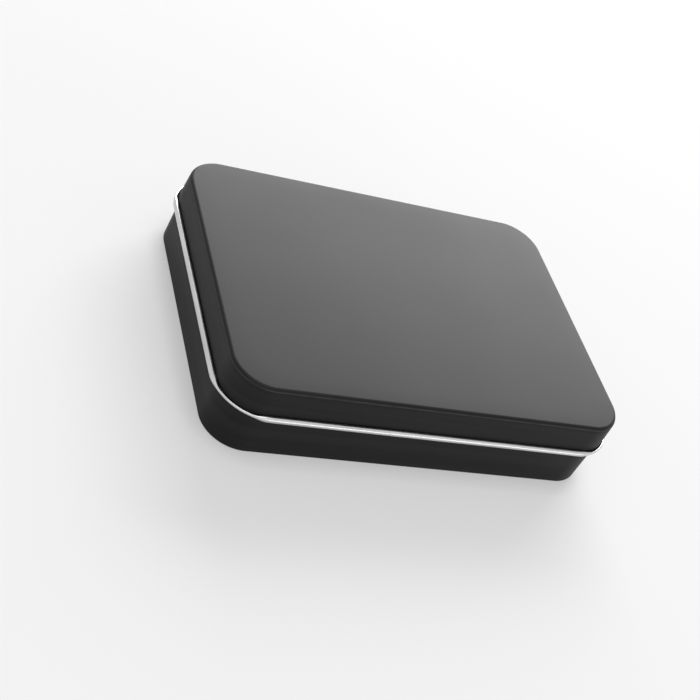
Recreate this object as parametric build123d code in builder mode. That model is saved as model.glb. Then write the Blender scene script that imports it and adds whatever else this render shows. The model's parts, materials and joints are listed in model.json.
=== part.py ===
from build123d import *
import os
from math import asin, atan2, copysign, degrees, hypot, radians, tan

# A shallow rectangular tin for a card game: a lid and a base, each drawn from one
# piece of sheet steel, and two short hinge wires at the back. Millimetres. The origin
# is the middle of the base's underside, X runs along the long side, +Y points to the
# hinge and +Z is up. The tin is modelled shut.

os.makedirs("parts", exist_ok=True)

# ---- Driving sizes ----

# The closed tin, over the rolled foot of the lid
overall_length = 115.0
overall_width = 85.0
overall_height = 22.0
sheet = 0.25  # thickness of the steel

# The lid
curl_radius = 0.8  # outside radius of the lid's rolled foot
curl_wrap = 300.0  # degrees that the foot is rolled through
curl_height = 13.35  # middle of the rolled foot above the base's underside
lid_corner_radius = 10.8  # at the foot of the skirt
lid_edge_radius = 1.1  # between the top panel and the skirt
lid_draft = 4.0  # degrees that the skirt leans in

# The base
lid_fit = 0.5  # gap all round between the foot of the skirt and the base
lid_rest_gap = 0.15  # gap between the base's rim and the lid's panel
base_draft = 1.3  # degrees that the walls lean in
base_edge_radius = 0.4  # between the floor and the walls
rim_radius = 0.7  # outside radius of the rim, rolled inwards
rim_wrap = 290.0  # degrees that the rim is rolled through

# The hinge
hinge_spacing = 58.0  # between the middles of the two hinges
knuckle_width = 12.0
knuckle_wrap = 285.0  # degrees that each tab goes round its wire
knuckle_side_gap = 0.3  # between a knuckle and the lid's notch at each end
tab_drop = 1.9  # from the hinge axis down to where each tab leaves the base's back wall
wire_clearance = 0.05  # radial, between a wire and the curl or knuckle round it
wire_grip = 6.0  # length of wire held in the lid's curl at each end
notch_rise = 1.4  # height of the lid's notches above the hinge axis

# ---- Derived sizes ----

curl_reach = curl_radius - sheet  # the curl's middle stands this far out of the skirt
skirt_length = overall_length - 2 * (curl_reach + curl_radius)
skirt_width = overall_width - 2 * (curl_reach + curl_radius)
skirt_height = overall_height - curl_height

base_slope = tan(radians(base_draft))
base_inset = sheet + lid_fit - curl_height * base_slope  # from the skirt's foot to the base's
base_length = skirt_length - 2 * base_inset
base_width = skirt_width - 2 * base_inset
base_corner_radius = lid_corner_radius - base_inset
rim_height = overall_height - sheet - lid_rest_gap  # top of the rolled rim
wall_height = rim_height - rim_radius  # where the wall turns into the rim
wall_lean = wall_height * base_slope  # how far in the wall has come there

hinge_y = skirt_width / 2 + curl_reach
hinge_z = curl_height
tab_height = hinge_z - tab_drop
notch_width = knuckle_width + 2 * knuckle_side_gap
wire_radius = curl_radius - sheet - wire_clearance
wire_length = notch_width + 2 * wire_grip
hinge_positions = {"left": -hinge_spacing / 2, "right": hinge_spacing / 2}

up = Vector(0, 0, 1)


# ---- Shapes that both shells use ----


def bent_strip(middle, radius, start, wrap):
    """A rolled edge seen end on: `wrap` degrees of a ring, one sheet thick."""
    with BuildSketch() as strip:
        with BuildLine():
            outer = CenterArc(middle, radius, start, wrap)
            inner = CenterArc(middle, radius - sheet, start, wrap)
            Line(outer @ 0, inner @ 0)
            Line(outer @ 1, inner @ 1)
        make_face()
    return strip.sketch


def wall_section(origin, outward):
    """The plane across a wall, with its x pointing out of the tin and its y up."""
    return Plane(origin=origin, x_dir=outward, z_dir=outward.cross(up))


def rolled_edge(length, width, corner, strip):
    """An edge rolled all round a rounded rectangle, the outline of a wall's outer face.

    The strip is drawn with x outwards from that face and y up.
    """
    with BuildPart() as edge:
        for quarter in range(4):
            outward = Vector(1, 0, 0).rotate(Axis.Z, 90 * quarter)
            across, along = (length, width) if quarter % 2 == 0 else (width, length)
            with BuildSketch(wall_section(outward * (across / 2), outward)):
                add(strip)
            extrude(amount=along / 2 - corner, both=True)

            diagonal = outward.rotate(Axis.Z, 45)
            pivot = Vector(
                copysign(length / 2 - corner, diagonal.X),
                copysign(width / 2 - corner, diagonal.Y),
            )
            with BuildSketch(wall_section(pivot + outward * corner, outward)):
                add(strip)
            revolve(axis=Axis(pivot, up), revolution_arc=90)
    return edge.part


# ---- Lid ----

lid_curl = rolled_edge(
    skirt_length,
    skirt_width,
    lid_corner_radius,
    bent_strip((curl_reach, curl_height), curl_radius, 180, curl_wrap),
)

# The space under the lid's panel
with BuildPart() as lid_hollow:
    with BuildSketch(Plane.XY.offset(curl_height)):
        RectangleRounded(
            skirt_length - 2 * sheet, skirt_width - 2 * sheet, lid_corner_radius - sheet
        )
    extrude(amount=skirt_height - sheet, taper=lid_draft)
    fillet(lid_hollow.faces().sort_by(Axis.Z)[-1].edges(), lid_edge_radius - sheet)

with BuildPart() as lid:
    with BuildSketch(Plane.XY.offset(curl_height)):
        RectangleRounded(skirt_length, skirt_width, lid_corner_radius)
    extrude(amount=skirt_height, taper=lid_draft)
    fillet(lid.faces().sort_by(Axis.Z)[-1].edges(), lid_edge_radius)
    add(lid_hollow.part, mode=Mode.SUBTRACT)
    add(lid_curl)

    # A notch through the skirt and the curl for each knuckle of the base
    notch_depth = sheet + lid_fit / 2 + curl_reach + curl_radius
    for x in hinge_positions.values():
        with BuildSketch(Plane.XY.offset(curl_height - 2 * curl_radius)):
            with Locations((x, overall_width / 2)):
                Rectangle(notch_width, 2 * notch_depth)
        extrude(amount=2 * curl_radius + notch_rise, mode=Mode.SUBTRACT)

lid.part.label = "lid"
export_step(lid.part, "parts/lid.step")

# ---- Base ----

base_rim = rolled_edge(
    base_length - 2 * wall_lean,
    base_width - 2 * wall_lean,
    base_corner_radius - wall_lean,
    bent_strip((-rim_radius, wall_height), rim_radius, 0, rim_wrap),
)

# The space inside the base
hollow_inset = sheet + sheet * base_slope
with BuildPart() as base_hollow:
    with BuildSketch(Plane.XY.offset(sheet)):
        RectangleRounded(
            base_length - 2 * hollow_inset,
            base_width - 2 * hollow_inset,
            base_corner_radius - hollow_inset,
        )
    extrude(amount=wall_height - sheet, taper=base_draft)
    fillet(base_hollow.faces().sort_by(Axis.Z)[0].edges(), base_edge_radius - sheet)

# Each hinge tab is cut free in the back wall and bent out. It leaves the wall on a
# straight line that touches its knuckle, and the window it leaves is as high as it is long.
wall_y = base_width / 2 - tab_height * base_slope - sheet / 2  # middle of the wall there
knuckle_radius = curl_radius - sheet / 2  # to the middle of the sheet
root_distance = hypot(hinge_y - wall_y, tab_drop)
root_angle = atan2(hinge_y - wall_y, tab_drop)
tab_lean = degrees(root_angle - asin(knuckle_radius / root_distance))
tab_straight = (root_distance**2 - knuckle_radius**2) ** 0.5
window_height = tab_straight + knuckle_radius * radians(knuckle_wrap)

with BuildPart() as base:
    with BuildSketch():
        RectangleRounded(base_length, base_width, base_corner_radius)
    extrude(amount=wall_height, taper=base_draft)
    fillet(base.faces().sort_by(Axis.Z)[0].edges(), base_edge_radius)
    add(base_hollow.part, mode=Mode.SUBTRACT)
    add(base_rim)

    for x in hinge_positions.values():
        with BuildSketch(Plane.XY.offset(tab_height)):
            with Locations((x, wall_y)):
                Rectangle(knuckle_width, 2 * sheet)
        extrude(amount=window_height, mode=Mode.SUBTRACT)

        with BuildSketch(Plane.YZ.offset(x)):
            with BuildLine():
                knuckle_arc = ((hinge_y, hinge_z), 180 - tab_lean, -knuckle_wrap)
                outside = CenterArc(knuckle_arc[0], curl_radius, *knuckle_arc[1:])
                inside = CenterArc(knuckle_arc[0], curl_radius - sheet, *knuckle_arc[1:])
                Line(outside @ 1, inside @ 1)
                Polyline(
                    inside @ 0,
                    (wall_y + sheet / 2, tab_height),
                    (wall_y - sheet / 2, tab_height),
                    outside @ 0,
                )
            make_face()
        extrude(amount=knuckle_width / 2, both=True)

base.part.label = "base"
export_step(base.part, "parts/base.step")

# ---- Hinge wires ----

for side, x in hinge_positions.items():
    with BuildPart() as hinge_wire:
        with BuildSketch(Plane.YZ.offset(x)):
            with Locations((hinge_y, hinge_z)):
                Circle(wire_radius)
        extrude(amount=wire_length / 2, both=True)
    hinge_wire.part.label = f"hinge_wire_{side}"
    export_step(hinge_wire.part, f"parts/hinge_wire_{side}.step")
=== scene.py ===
import json
import math

import bpy
import numpy as np
from mathutils import Matrix, Vector


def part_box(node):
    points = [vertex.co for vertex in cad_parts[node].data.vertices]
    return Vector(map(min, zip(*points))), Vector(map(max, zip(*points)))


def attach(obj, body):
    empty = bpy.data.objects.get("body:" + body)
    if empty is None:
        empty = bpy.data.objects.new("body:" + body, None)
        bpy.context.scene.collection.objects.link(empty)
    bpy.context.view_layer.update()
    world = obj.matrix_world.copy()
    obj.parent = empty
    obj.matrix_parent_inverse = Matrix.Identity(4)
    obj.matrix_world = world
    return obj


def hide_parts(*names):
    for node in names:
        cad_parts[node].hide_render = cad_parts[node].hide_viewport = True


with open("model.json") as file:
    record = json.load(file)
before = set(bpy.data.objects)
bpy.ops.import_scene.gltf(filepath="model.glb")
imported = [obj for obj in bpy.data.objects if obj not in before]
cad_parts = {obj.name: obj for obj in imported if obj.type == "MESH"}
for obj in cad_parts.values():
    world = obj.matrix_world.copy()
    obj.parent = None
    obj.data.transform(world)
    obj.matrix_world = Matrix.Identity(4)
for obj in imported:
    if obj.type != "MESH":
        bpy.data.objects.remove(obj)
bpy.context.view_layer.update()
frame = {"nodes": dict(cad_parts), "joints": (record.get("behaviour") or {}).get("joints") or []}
print("frame loaded")

mm = 0.001
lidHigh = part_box("lid")[1]
baseLow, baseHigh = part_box("base")
hingePlace = Vector(frame["joints"][0]["pos_m"])

# What both shells share
tin = {
    "sheet": 0.25 * mm,  # thickness of the steel
    "curlRadius": 0.8 * mm,  # outside radius of the lid's bead and of the hinge knuckles
    "hingeSpacing": 58.0 * mm,
    "knuckleWidth": 12.0 * mm,
    "longPlaces": 61,  # of the mesh along each long side, before the cuts at the hinges are added
    "shortPlaces": 41,  # and along each short one
    "panelRings": 8,  # rings of faces across each flat panel
}
hingePlaces = [-tin["hingeSpacing"] / 2, tin["hingeSpacing"] / 2]


# A shader number that takes +, - and * with other numbers
class Value:
    def __init__(self, finish, socket):
        self.finish, self.socket = finish, socket

    def combine(self, operation, first, second):
        return self.finish.node("ShaderNodeMath", {"operation": operation}, {0: first, 1: second})

    def __add__(self, other):
        return self.combine("ADD", self, other)

    def __radd__(self, other):
        return self.combine("ADD", other, self)

    def __sub__(self, other):
        return self.combine("SUBTRACT", self, other)

    def __rsub__(self, other):
        return self.combine("SUBTRACT", other, self)

    def __mul__(self, other):
        return self.combine("MULTIPLY", self, other)

    def __rmul__(self, other):
        return self.combine("MULTIPLY", other, self)


# One node tree: a new material's, unless one is given
class Finish:
    def __init__(self, name, tree=None):
        if tree is None:
            self.material = bpy.data.materials.new(name)
            self.material.use_nodes = True
            tree = self.material.node_tree
        self.tree = tree
        self.tree.nodes.clear()

    # Adds any node: its settings are set first, then its sockets
    def node(self, kind, settings, sockets, output=0):
        made = self.tree.nodes.new(kind)
        for key, value in settings.items():
            setattr(made, key, value)
        for key, value in sockets.items():
            if isinstance(value, Value):
                self.tree.links.new(value.socket, made.inputs[key])
            else:
                made.inputs[key].default_value = value
        return Value(self, made.outputs[output] if made.outputs else None)

    def noise(self, where, scale, detail=3.0):
        sockets = {"Vector": where, "Scale": scale, "Detail": detail, "Roughness": 0.5}
        return self.node("ShaderNodeTexNoise", {}, sockets)

    # Noise with its own number of waves per metre along X, Y and Z
    def drawnNoise(self, where, scale, detail=3.0):
        drawn = self.node("ShaderNodeMapping", {}, {"Vector": where, "Scale": scale})
        return self.noise(drawn, 1.0, detail)

    # From the first level to the last while the value goes from start to end
    def fade(self, value, start, end, first=0.0, last=1.0, shape="LINEAR"):
        sockets = {"Value": value, "From Min": start, "From Max": end, "To Min": first, "To Max": last}
        return self.node("ShaderNodeMapRange", {"interpolation_type": shape}, sockets)

    # Of two colours: the Mix node takes them at its sockets 6 and 7, and gives one at its output 2
    def mix(self, factor, first, second):
        sockets = {"Factor": factor, 6: first, 7: second}
        return self.node("ShaderNodeMix", {"data_type": "RGBA"}, sockets, 2)

    def bump(self, height, distance):
        return self.node("ShaderNodeBump", {}, {"Strength": 1.0, "Distance": distance, "Height": height})

    # The whole look as one Principled shader
    def principled(self, sockets):
        return self.finishWith(self.node("ShaderNodeBsdfPrincipled", {}, sockets))

    def finishWith(self, shader):
        self.node("ShaderNodeOutputMaterial", {}, {"Surface": shader})
        return self.material


enamelLook = {
    "colour": (0.009, 0.009, 0.0094, 1),
    "paintedSheenColour": (0.020, 0.020, 0.021, 1),  # painted sheen: lighter bands along the walls, put in the colour for streaks of reflected light
    "paintedSheenScale": (8.0, 8.0, 300.0),
    "paintedSheenLevels": (0.4, 0.75),  # of the noise, between which a band of painted sheen fades in
    "roughness": 0.44,
    "drawnRoughness": 0.10,  # added on the walls, which drawing roughens
    "drawnHeights": (21.0 * mm, 21.8 * mm),  # from all of it, up to none on the lid's panel
    "cloudScale": 45.0,  # broad cloudiness, in waves per metre
    "cloudSwing": 0.02,  # how far it moves the roughness
    "specular": 0.18,
    "peelScale": 1600.0,  # the paint's texture, in waves per metre
    "peelHeight": 0.002 * mm,
    # A painted highlight: the lighter colour of the lines below, round the lid's edge and the base's foot
    "paintedHighlightColour": (0.060, 0.060, 0.062, 1),
    "wearAndHighlightHeights": (21.35 * mm, 0.2 * mm),  # lines of painted highlight, where the paint is also polished: round the lid's edge and the base's foot
    "wearAndHighlightReach": 0.25 * mm,  # above and below each
    "wearAndHighlightScale": 300.0,  # of the noise that breaks them up
    "wearAndHighlightStrength": 1.2,
    "wornPolish": 0.08,  # taken off the roughness there
}


# The rubbed lines are 1 at their height and 0 at their reach, times a noise. They carry a painted highlight
# in the colour and the polish of rubbed paint. The roughness is the panel's, plus the walls' share, plus the
# clouds, less that polish.
def blackEnamel():
    look = enamelLook
    finish = Finish("blackEnamel")
    where = finish.node("ShaderNodeTexCoord", {}, {}, "Object")
    height = finish.node("ShaderNodeSeparateXYZ", {}, {"Vector": where}, "Z")
    wearAndHighlight = 0.0
    for place in look["wearAndHighlightHeights"]:
        away = finish.node("ShaderNodeMath", {"operation": "ABSOLUTE"}, {0: height - place})
        wearAndHighlight = wearAndHighlight + finish.fade(away, 0.0, look["wearAndHighlightReach"], 1.0, 0.0, "SMOOTHSTEP")
    wearAndHighlight = wearAndHighlight * (finish.noise(where, look["wearAndHighlightScale"]) * look["wearAndHighlightStrength"])
    # Painted sheen: bands of lighter colour along the walls, standing in for streaks of reflection
    paintedSheen = finish.drawnNoise(where, look["paintedSheenScale"], detail=2.0)
    paintedSheen = finish.fade(paintedSheen, *look["paintedSheenLevels"])
    colour = finish.mix(paintedSheen, look["colour"], look["paintedSheenColour"])
    drawn = finish.fade(height, *look["drawnHeights"], 1.0, 0.0, "SMOOTHSTEP")
    clouds = (finish.noise(where, look["cloudScale"]) - 0.5) * (2 * look["cloudSwing"])
    roughness = clouds + look["roughness"] + drawn * look["drawnRoughness"] - wearAndHighlight * look["wornPolish"]
    peel = finish.noise(where, look["peelScale"], detail=2.0)
    return finish.principled(
        {
            # The rubbed lines lighten the colour: a painted highlight
            "Base Color": finish.mix(wearAndHighlight, colour, look["paintedHighlightColour"]),
            "Roughness": roughness,
            "Specular IOR Level": look["specular"],
            "Normal": finish.bump(peel, look["peelHeight"]),
        }
    )


tinplateLook = {
    "rolled": {  # burnished: the bead, the knuckles and the wires
        "colour": (0.59, 0.59, 0.60),
        "roughness": 0.30,
        "grainScale": (60.0, 60.0, 2600.0),  # its lines run level, round the tin
    },
    "matt": {  # as the sheet comes: inside the tin
        "colour": (0.44, 0.44, 0.445),
        "roughness": 0.73,
        "grainScale": (60.0, 2600.0, 2600.0),  # its lines run along X
    },
    "grainLevels": (0.3, 0.7),  # of the noise, between which the lines go from dark to light
    "grainShade": 0.12,  # how far they move the colour, as a share of it
    "grainSwing": 0.10,  # and the roughness
    "grainHeight": 0.0015 * mm,
    "cloudScale": 70.0,  # broad cloudiness, in waves per metre
    "cloudSwing": 0.05,  # how far it moves the roughness
}


# The grain is one noise drawn out into lines, which moves the colour, the roughness and the
# height. Each noise moves the roughness by up to its swing, as (noise - 0.5) * 2 * swing.
def bareTinplate(kind):
    look, shared = tinplateLook[kind], tinplateLook
    finish = Finish(kind + "Tinplate")
    where = finish.node("ShaderNodeTexCoord", {}, {}, "Object")
    grain = finish.drawnNoise(where, look["grainScale"])
    clouds = finish.noise(where, shared["cloudScale"])
    tones = 1 - shared["grainShade"], 1 + shared["grainShade"]
    darker, lighter = [[level * tone for level in look["colour"]] + [1] for tone in tones]
    swing = (grain - 0.5) * (2 * shared["grainSwing"]) + (clouds - 0.5) * (2 * shared["cloudSwing"])
    return finish.principled(
        {
            "Base Color": finish.mix(finish.fade(grain, *shared["grainLevels"]), darker, lighter),
            "Metallic": 1.0,
            "Roughness": swing + look["roughness"],
            "Normal": finish.bump(grain, shared["grainHeight"]),
        }
    )


enamel = blackEnamel()
rolledTin = bareTinplate("rolled")
mattTin = bareTinplate("matt")
print("materials made")


# Places along a side: even steps, and the cuts that must be met. They are rounded to 8 decimals of
# a metre, so that a cut that lies on a step counts once.
def placesAlong(flat, count, cuts=()):
    return np.unique(np.round(np.concatenate([np.linspace(-flat, flat, count), cuts]), 8))


# A rounded rectangle round the origin, walked anticlockwise from its right side: each side is
# sampled at its places, and each corner is centre + radius * (cos, sin). "turned" is the angle
# walked into a corner from the nearer of its two sides.
def roundedOutline(halfX, halfY, radius, cuts, cornerSteps):
    alongX = placesAlong(halfX - radius, tin["longPlaces"], cuts)
    alongY = placesAlong(halfY - radius, tin["shortPlaces"])
    points, normals, turned = [], [], []
    arc = np.linspace(0, math.pi / 2, cornerSteps + 1)[1:-1]
    for side in range(4):
        turn = side * math.pi / 2
        ahead = np.array([-math.sin(turn), math.cos(turn)])
        outward = np.array([math.cos(turn), math.sin(turn)])
        reach, along = (halfX, alongY) if side % 2 == 0 else (halfY, alongX)
        around = np.stack([np.cos(turn + arc), np.sin(turn + arc)], axis=1)
        centre = outward * (reach - radius) + ahead * along.max()
        points += [outward * reach + along[:, None] * ahead, centre + radius * around]
        normals += [np.broadcast_to(outward, (len(along), 2)), around]
        turned += [along * 0, np.minimum(arc, math.pi / 2 - arc)]
    return np.concatenate(points), np.concatenate(normals), np.concatenate(turned)


# A section is four rows, of places out from the outline, heights, and the way the sheet faces,
# out and up. This one is an arc: centre + radius * (cos, sin), which faces away from its centre.
def arcSection(centreOut, centreUp, radius, angles):
    out, up = np.cos(angles), np.sin(angles)
    return [centreOut + radius * out, centreUp + radius * up, out, up]


# A soft bend: (1-t)^2 * start + 2t(1-t) * corner + t^2 * end, round the sharp corner between them
def softBend(t, start, corner, end):
    return (1 - t) ** 2 * start + 2 * t * (1 - t) * corner + t**2 * end


# Carries a section round an outline: point = outline + outward * offset, at its height
def carry(points, normals, section):
    shape = np.broadcast_shapes(section[0].shape, (len(points), 1))
    offset, height, leanOut, leanUp = [np.broadcast_to(row, shape)[..., None] for row in section]
    place = np.concatenate([points[:, None] + normals[:, None] * offset, height], axis=2)
    facing = np.concatenate([normals[:, None] * leanOut, leanUp], axis=2)
    return place, facing


# A flat panel inside a ring: rings that shrink towards the middle line, line + (ring - line) * share
def panelInside(ring, up):
    reach = np.abs(ring).max(axis=0)
    line = ring * 0
    line[:, 0] = np.clip(ring[:, 0], reach[1] - reach[0], reach[0] - reach[1])
    line[:, 2] = ring[:, 2]
    share = np.linspace(0, 1, tin["panelRings"] + 1)[:-1]
    place = line[:, None] + (ring - line)[:, None] * share[None, :, None]
    return place, np.broadcast_to((0, 0, up), place.shape)


# The quads between the columns and rows of a grid, whose last column may join its first
def gridQuads(columns, rows, closed, first=0):
    across = np.arange(columns if closed else columns - 1)
    column, row = np.meshgrid(across, np.arange(rows - 1), indexing="ij")
    beside = (column + 1) % columns
    corners = [column * rows + row, beside * rows + row, beside * rows + row + 1, column * rows + row + 1]
    return first + np.stack(corners, axis=2)


# The grid of a shell: a flat panel, and then its sections carried round the outline. Also gives
# the quads and the middle of each.
def shellGrid(points, normals, sections, panelUp):
    parts = [carry(points, normals, section) for section in sections]
    parts.insert(0, panelInside(parts[0][0][:, 0], panelUp))
    place, facing = [np.concatenate(part, axis=1) for part in zip(*parts)]
    quads = gridQuads(*place.shape[:2], True)
    place = place.reshape(-1, 3)
    return place, facing.reshape(-1, 3), quads, place[quads].mean(axis=2)


# Where the cuts at the hinges lie along X: each half width, to both sides of each hinge's middle
def hingeCuts(*halves):
    return [x + side * half for x in hingePlaces for side in (-1, 1) for half in halves]


# True for what lies less than that far, along X, from the middle of a hinge
def besideHinge(middle, half):
    return np.any([np.abs(middle[..., 0] - x) < half for x in hingePlaces], axis=0)


weldSize = 0.00021 * mm  # points this near are one; odd, so that round sizes don't fall between two
sharpAngle = math.radians(40)


# A sheet of steel from its middle surface: each face lies half the thickness off it along the
# normals, and a strip closes it along every free edge. It is enamelled on the side that the
# normals point to. The other side and the cut edges are bare, and burnished where it is rolled.
def sheetPiece(name, points, normals, quads, rolled):
    keys = np.round(points / weldSize).astype(np.int64)
    _, first, index = np.unique(keys, axis=0, return_index=True, return_inverse=True)
    points, normals = points[first], normals[first]
    quads = index.reshape(-1)[quads]
    across = np.cross(points[quads[:, 2]] - points[quads[:, 0]], points[quads[:, 3]] - points[quads[:, 1]])
    inward = (across * normals[quads].sum(axis=1)).sum(axis=1) < 0
    quads[inward] = quads[inward][:, ::-1]

    count = len(points)
    edges = np.stack([quads, np.roll(quads, -1, axis=1)], axis=2).reshape(-1, 2)
    edges = edges[edges[:, 0] != edges[:, 1]]
    _, which, uses = np.unique(np.sort(edges, axis=1), axis=0, return_index=True, return_counts=True)
    free = edges[which[uses == 1]]
    rim = np.stack([free[:, 1], free[:, 0], free[:, 0] + count, free[:, 1] + count], axis=1)

    half = tin["sheet"] / 2
    vertices = np.concatenate([points + normals * half, points - normals * half])
    faces = np.concatenate([quads, quads[:, ::-1] + count, rim])
    slots = np.concatenate([np.zeros(len(quads), int), 1 + rolled, np.ones(len(rim), int)])

    # Quads with a doubled corner become triangles, and those with two are left out
    doubled = faces == np.roll(faces, -1, axis=1)
    keep = doubled.sum(axis=1) < 2
    faces, slots, doubled = faces[keep], slots[keep], doubled[keep]
    whole = ~doubled.any(axis=1)
    pointed = faces[~whole][~doubled[~whole]].reshape(-1, 3)
    mesh = bpy.data.meshes.new(name)
    mesh.from_pydata(vertices.tolist(), [], faces[whole].tolist() + pointed.tolist())
    for material in (enamel, mattTin, rolledTin):
        mesh.materials.append(material)
    slots = np.concatenate([slots[whole], slots[~whole]])
    mesh.polygons.foreach_set("material_index", slots.astype(np.int32))
    mesh.polygons.foreach_set("use_smooth", np.ones(len(slots), bool))
    mesh.set_sharp_from_angle(angle=sharpAngle)
    mesh.update()
    piece = bpy.data.objects.new(name, mesh)
    bpy.context.scene.collection.objects.link(piece)
    return piece


lid = {
    "cornerRadius": 10.8 * mm,  # at the foot of the skirt
    "edgeRadius": 1.1 * mm,
    "draft": math.radians(4.0),
    "curlWrap": math.radians(300),
    "beadCornerRadius": 13.5 * mm,  # of the bead's outside, which cuts the corners
    "cornerCurlRadius": 0.34 * mm,  # the bead is rolled tighter there
    "cornerCurlRise": 0.15 * mm,  # and its middle stands higher
    "curlBlend": math.radians(20),  # part of a corner over which it narrows
    "footBend": 0.3 * mm,  # length over which the skirt bends out to it
    "notchGap": 0.3 * mm,  # at each end of a knuckle
    "notchRise": 1.4 * mm,  # above the hinge's axis
    "cornerSteps": 48,  # the mesh's steps along each stretch
    "edgeSteps": 14,
    "skirtRows": (1 / 7, 3 / 7, 5 / 7),  # shares of the way, down to the notches' top and on from it
    "bendSteps": 7,
    "beadSteps": 36,
}


# How far out of a wall an outside with rounder corners lies: along each normal, from the wall's
# point p to the outside's corner circle, so |p + normal * reach - centre| = radius
def reachToOutside(points, normals, halfX, halfY, radius):
    centre = np.sign(points) * (np.array([halfX, halfY]) - radius)
    away = points - centre
    ahead = (away * normals).sum(axis=1)
    curved = np.sqrt(np.maximum(ahead**2 - (away**2).sum(axis=1) + radius**2, 0)) - ahead
    flat = np.abs(normals) @ np.array([halfX, halfY]) - np.abs((points * normals).sum(axis=1))
    inCorner = (np.abs(points) > np.abs(centre)).all(axis=1)
    return np.where(inCorner, curved, flat)


# The middle of the skirt's sheet, out from the outline: -rise * tan(draft) - half a sheet across
def skirtAt(height):
    return -(height - hingePlace.z) * math.tan(lid["draft"]) - tin["sheet"] / 2 / math.cos(lid["draft"])


# The lid's bead, an arc rolled outwards, and the bend that leads the skirt out to it
def beadSections(points, normals, turned):
    sheet, curl, draft = tin["sheet"], tin["curlRadius"], lid["draft"]

    # Its circle is tighter and higher round the corners, by 3s^2 - 2s^3 of the share s walked
    # into them, and its outside follows the lid's box
    share = np.clip(turned / lid["curlBlend"], 0, 1)
    tight = (share * share * (3 - 2 * share))[:, None]
    radius = curl + (lid["cornerCurlRadius"] - curl) * tight - sheet / 2
    outside = reachToOutside(points, normals, lidHigh.x, lidHigh.y, lid["beadCornerRadius"])[:, None]
    centreOut = outside - radius - sheet / 2
    centreUp = hingePlace.z + lid["cornerCurlRise"] * tight

    # It starts where a straight line from the skirt's foot touches the circle
    foot = skirtAt(centreUp)
    dip = np.arcsin(np.clip(radius / (centreOut - foot), 0, 1))
    start = math.pi + np.maximum(math.pi / 2 - dip, draft)
    walked = np.linspace(0, 1, lid["beadSteps"] + 1)
    bead = arcSection(centreOut, centreUp, radius, start + (math.pi + lid["curlWrap"] - start) * walked)
    bead[2:] = [-bead[2], -bead[3]]  # rolled outwards, the skirt's outer side faces the centre

    # The bend runs from the skirt to that line, round the foot
    lineOut, lineUp = bead[0][:, :1] - foot, bead[1][:, :1] - centreUp
    onLine = np.minimum(lid["footBend"] / np.hypot(lineOut, lineUp), 1)
    bendTop = centreUp + lid["footBend"]
    t = np.linspace(0, 1, lid["bendSteps"] + 1)[:-1]
    lean = draft + (start - math.pi - draft) * t
    bend = [
        softBend(t, skirtAt(bendTop), foot, foot + lineOut * onLine),
        softBend(t, bendTop, centreUp, centreUp + lineUp * onLine),
        np.cos(lean),
        np.sin(lean),
    ]
    return bendTop, bend, bead


def makeLid():
    sheet, curl, draft = tin["sheet"], tin["curlRadius"], lid["draft"]
    halfX, halfY = lidHigh.x - (2 * curl - sheet), lidHigh.y - (2 * curl - sheet)
    halfNotch = tin["knuckleWidth"] / 2 + lid["notchGap"]
    notchTop = hingePlace.z + lid["notchRise"]
    cuts = hingeCuts(halfNotch)
    points, normals, turned = roundedOutline(halfX, halfY, lid["cornerRadius"], cuts, lid["cornerSteps"])

    # Edge: an arc from the panel to the skirt, which leans in by the draft
    edgeUp = lidHigh.z - lid["edgeRadius"]
    edgeOut = -(edgeUp - hingePlace.z) * math.tan(draft) - lid["edgeRadius"] / math.cos(draft)
    angles = np.linspace(math.pi / 2, draft, lid["edgeSteps"] + 1)
    edge = arcSection(edgeOut, edgeUp, lid["edgeRadius"] - sheet / 2, angles)
    bendTop, bend, bead = beadSections(points, normals, turned)

    # Skirt: straight between the edge and the bend, with a row at the notches' top
    share = np.array(lid["skirtRows"])
    above = np.append(edge[1][-1] + (notchTop - edge[1][-1]) * share, notchTop)
    below = notchTop + (bendTop - notchTop) * share
    heights = np.concatenate([np.broadcast_to(above, (len(points), len(above))), below], axis=1)
    skirt = [skirtAt(heights), heights, np.array([math.cos(draft)]), np.array([math.sin(draft)])]

    place, facing, quads, middle = shellGrid(points, normals, (edge, skirt, bend, bead), 1)
    atBack = middle[..., 1] > halfY - 2 * curl
    below = middle[..., 2] < notchTop
    keep = ~(atBack & below & besideHinge(middle, halfNotch))
    rows = quads.shape[1]
    rolled = np.broadcast_to(np.arange(rows) >= rows - lid["beadSteps"], keep.shape)
    return sheetPiece("lidShell", place, facing, quads[keep], rolled[keep])


lidShell = makeLid()
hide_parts("lid")
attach(lidShell, "lid")
print("lid made")


base = {
    "cornerRadius": 10.35 * mm,  # at the floor
    "edgeRadius": 0.4 * mm,
    "draft": math.radians(1.3),
    "rimRadius": 0.7 * mm,
    "rimWrap": math.radians(290),
    "knuckleWrap": math.radians(285),
    "tabDrop": 1.9 * mm,  # from the hinge axis down to where each tab leaves the wall
    "tabBend": 0.6 * mm,  # length over which it bends out
    "tabSlit": 0.1 * mm,  # between a tab and each side of the window it was cut from
    "cornerSteps": 32,  # the mesh's steps along each stretch
    "edgeSteps": 8,
    "wallSteps": 8,
    "rimSteps": 32,
    "bendSteps": 6,
    "knuckleSteps": 32,
}


# The middle of the back wall's sheet at a height: the wall's foot - height * tan(draft) - half a sheet
def wallAt(height):
    return -baseLow.y - height * math.tan(base["draft"]) - tin["sheet"] / 2


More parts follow.
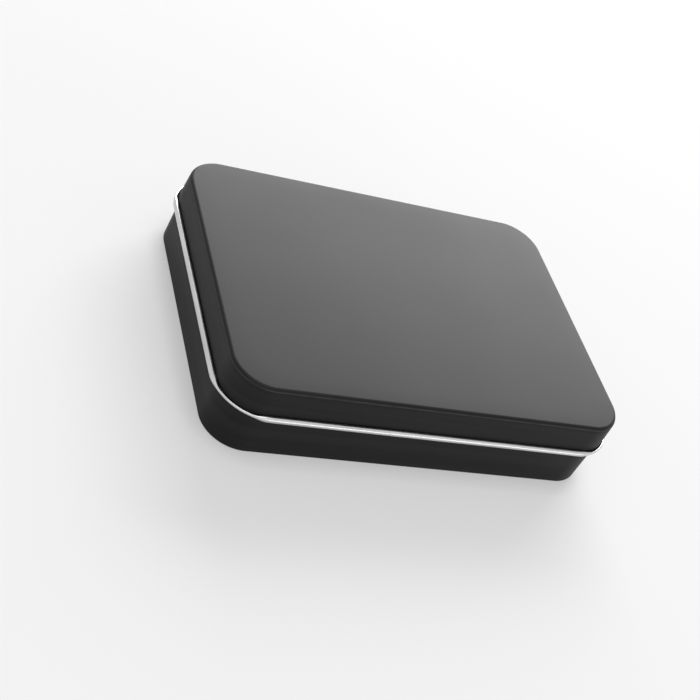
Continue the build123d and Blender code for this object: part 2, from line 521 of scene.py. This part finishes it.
# A tab's path across the hinge, as y and z: the wall's own steel is bent out softly on to a
# straight line that touches the knuckle's circle, and goes on round the wire. Also gives the
# way it faces, and the heights of the foot and top of the window that it is cut from.
def tabPath():
    draft, radius = base["draft"], tin["curlRadius"] - tin["sheet"] / 2
    rootUp = hingePlace.z - base["tabDrop"]
    away = hingePlace.y - wallAt(rootUp)
    distance = math.hypot(away, base["tabDrop"])
    lean = math.atan2(away, base["tabDrop"]) - math.asin(radius / distance)
    straight = math.sqrt(distance**2 - radius**2)
    footUp = rootUp - base["tabBend"]
    topUp = rootUp + straight + radius * base["knuckleWrap"]

    foot, root = np.array([wallAt(footUp), footUp]), np.array([wallAt(rootUp), rootUp])
    leave = root + np.array([math.sin(lean), math.cos(lean)]) * base["tabBend"]
    t = np.linspace(0, 1, base["bendSteps"] + 1)[1:, None]
    turned = -draft + (lean + draft) * t[:, 0]
    phase = math.pi - lean - np.linspace(0, base["knuckleWrap"], base["knuckleSteps"] + 1)
    ring = np.stack([np.cos(phase), np.sin(phase)], axis=1)
    path = np.concatenate([softBend(t, foot, root, leave), np.array(hingePlace.yz) + radius * ring])
    facing = np.concatenate([np.stack([np.cos(turned), -np.sin(turned)], axis=1), -ring])
    return path, facing, footUp, topUp


def makeBase():
    sheet, draft, rim = tin["sheet"], base["draft"], base["rimRadius"]
    halfX, halfY = baseHigh.x, -baseLow.y
    halfTab = tin["knuckleWidth"] / 2
    halfWindow = halfTab + base["tabSlit"]
    cuts = hingeCuts(halfTab, halfWindow)
    points, normals, _ = roundedOutline(halfX, halfY, base["cornerRadius"], cuts, base["cornerSteps"])

    # Edge: an arc from the floor to the wall, which leans in by the draft
    edgeOut = -base["edgeRadius"] * math.tan(draft) - base["edgeRadius"] / math.cos(draft)
    angles = np.linspace(-math.pi / 2, draft, base["edgeSteps"] + 1)
    edge = arcSection(edgeOut, base["edgeRadius"], base["edgeRadius"] - sheet / 2, angles)

    # Rim: an arc that starts along the wall and rolls inwards
    rimUp = baseHigh.z - rim
    angles = np.linspace(draft, base["rimWrap"], base["rimSteps"] + 1)
    rolledRim = arcSection(-rimUp * math.tan(draft) - rim, rimUp, rim - sheet / 2, angles)

    # Wall: straight from the edge to the rim, with rows at the windows' foot and top
    path, pathFacing, windowFoot, windowTop = tabPath()
    low, high = edge[1][-1], rolledRim[1][0]
    even = np.linspace(low, high, base["wallSteps"] + 1)
    heights = np.unique(np.concatenate([even, [windowFoot, windowTop]]))[1:-1]
    offsets = edge[0][-1] + (rolledRim[0][0] - edge[0][-1]) * ((heights - low) / (high - low))
    wall = [offsets, heights, np.array([math.cos(draft)]), np.array([math.sin(draft)])]

    place, facing, quads, middle = shellGrid(points, normals, (edge, wall, rolledRim), -1)
    atBack = middle[..., 1] > halfY - 2 * rim
    between = (middle[..., 2] > windowFoot) & (middle[..., 2] < windowTop)
    keep = ~(atBack & between & besideHinge(middle, halfWindow))
    rows = quads.shape[1] + 1
    place, facing, quads = [place], [facing], [quads[keep]]
    rolled = [np.zeros(len(quads[0]), bool)]

    # Tabs: each starts with the wall's own points at its window's foot
    rowAtFoot = tin["panelRings"] + len(edge[0]) + int(np.argmin(np.abs(heights - windowFoot)))
    for x in hingePlaces:
        onTab = (np.abs(points[:, 0] - x) < (halfTab + halfWindow) / 2) & (points[:, 1] > 0)
        columns = np.flatnonzero(onTab)
        foot = columns * rows + rowAtFoot
        tabPlace = np.empty((len(columns), len(path) + 1, 3))
        tabFacing = np.zeros_like(tabPlace)
        tabPlace[:, 0], tabFacing[:, 0] = place[0][foot], facing[0][foot]
        tabPlace[:, 1:, 0] = points[columns, 0][:, None]
        tabPlace[:, 1:, 1:], tabFacing[:, 1:, 1:] = path, pathFacing
        quads.append(gridQuads(*tabPlace.shape[:2], False, sum(map(len, place))).reshape(-1, 4))
        rolled.append(np.ones(len(quads[-1]), bool))
        place.append(tabPlace.reshape(-1, 3))
        facing.append(tabFacing.reshape(-1, 3))
    return sheetPiece("baseShell", *[np.concatenate(part) for part in (place, facing, quads, rolled)])


baseShell = makeBase()
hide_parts("base")
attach(baseShell, "base")
print("base made")

for wire in ("hinge_wire_left", "hinge_wire_right"):
    frame["nodes"][wire].material_slots[0].material = rolledTin


studio = {
    "floorColour": (0.93, 0.93, 0.93, 1),
    "floorSize": 2.4,  # metres
    "worldColour": (1.0, 1.0, 1.0, 1),
    "worldStrength": 0.36,
    "worldSeen": 0.85,  # its strength to the camera and to gloss
    "whiteShare": 0.36,  # how much of the floor's look is plain white to the camera and to gloss
}

# Angles in degrees, from the front round towards the right and up from the floor. Sizes in
# metres, as width and height. Radiance is that of the lamp's face, where 1 is white.
lamps = {
    "backSoftbox": {"azimuth": 152, "elevation": 26, "distance": 2.0, "size": (1.9, 0.95), "radiance": 7.6},
    "topSoftbox": {"azimuth": 0, "elevation": 90, "distance": 2.0, "size": (1.0, 1.0), "radiance": 2.5},
    "frontStrip": {"azimuth": 27, "elevation": 11, "distance": 1.5, "size": (1.0, 0.26), "radiance": 3.0},
}


# 1 where the camera, gloss or glass looks at it, and 0 where it lights other things
def lookedAt(finish):
    kinds = ("Is Camera Ray", "Is Glossy Ray", "Is Transmission Ray")
    camera, gloss, through = [finish.node("ShaderNodeLightPath", {}, {}, kind) for kind in kinds]
    return camera + gloss + through


# A square round the origin. Looked at, its white share is plain white and the rest is as lit.
def makeFloor():
    finish = Finish("paleFloor")
    lit = finish.node("ShaderNodeBsdfDiffuse", {}, {"Color": studio["floorColour"]})
    white = finish.node("ShaderNodeEmission", {}, {"Color": (1, 1, 1, 1), "Strength": 1.0})
    share = lookedAt(finish) * studio["whiteShare"]
    shader = finish.node("ShaderNodeMixShader", {}, {0: share, 1: lit, 2: white})
    half = studio["floorSize"] / 2
    corners = [(-half, -half, 0), (half, -half, 0), (half, half, 0), (-half, half, 0)]
    mesh = bpy.data.meshes.new("floor")
    mesh.from_pydata(corners, [], [(0, 1, 2, 3)])
    mesh.materials.append(finish.finishWith(shader))
    floor = bpy.data.objects.new("floor", mesh)
    bpy.context.scene.collection.objects.link(floor)


# An area lamp that faces the origin. Its energy is radiance * pi * area.
def makeLamp(name, lamp):
    azimuth, elevation = math.radians(lamp["azimuth"]), math.radians(lamp["elevation"])
    level = math.cos(elevation)
    direction = Vector((math.sin(azimuth) * level, -math.cos(azimuth) * level, math.sin(elevation)))
    light = bpy.data.lights.new(name, "AREA")
    width, height = lamp["size"]
    light.shape, light.size, light.size_y = "RECTANGLE", width, height
    light.energy = lamp["radiance"] * math.pi * width * height
    thing = bpy.data.objects.new(name, light)
    thing.location = direction * lamp["distance"]
    thing.rotation_euler = direction.to_track_quat("Z", "Y").to_euler()
    thing.visible_camera = False
    bpy.context.scene.collection.objects.link(thing)


# A plain sky. Its strength is the lighting's, plus the rest of the seen one where it is looked at.
def makeWorld():
    world = bpy.data.worlds.new("studio")
    world.use_nodes = True
    sky = Finish("sky", world.node_tree)
    strength = lookedAt(sky) * (studio["worldSeen"] - studio["worldStrength"]) + studio["worldStrength"]
    background = sky.node("ShaderNodeBackground", {}, {"Color": studio["worldColour"], "Strength": strength})
    sky.node("ShaderNodeOutputWorld", {}, {"Surface": background})
    bpy.context.scene.world = world


camera = {
    "place": Vector((-162.26, -219.43, 209.03)) * mm,
    "forward": Vector((0.45744, 0.64232, -0.61496)),
    "roll": math.radians(31.751),  # the camera leans over to its left
    "lens": 64.47,
    "sensor": 36.0,
    "nearest": 0.01,  # metres
}


# The camera looks along "forward" with Z up, and is then rolled about that line
def makeCamera():
    lens = bpy.data.cameras.new("camera")
    lens.lens, lens.sensor_width, lens.clip_start = camera["lens"], camera["sensor"], camera["nearest"]
    thing = bpy.data.objects.new("camera", lens)
    turn = camera["forward"].to_track_quat("-Z", "Y").to_matrix().to_4x4()
    thing.matrix_world = Matrix.Translation(camera["place"]) @ turn @ Matrix.Rotation(camera["roll"], 4, "Z")
    bpy.context.scene.collection.objects.link(thing)
    bpy.context.scene.camera = thing


makeFloor()
makeWorld()
for name, lamp in lamps.items():
    makeLamp(name, lamp)
makeCamera()
bpy.context.scene.view_settings.view_transform = "Standard"
print("studio made")

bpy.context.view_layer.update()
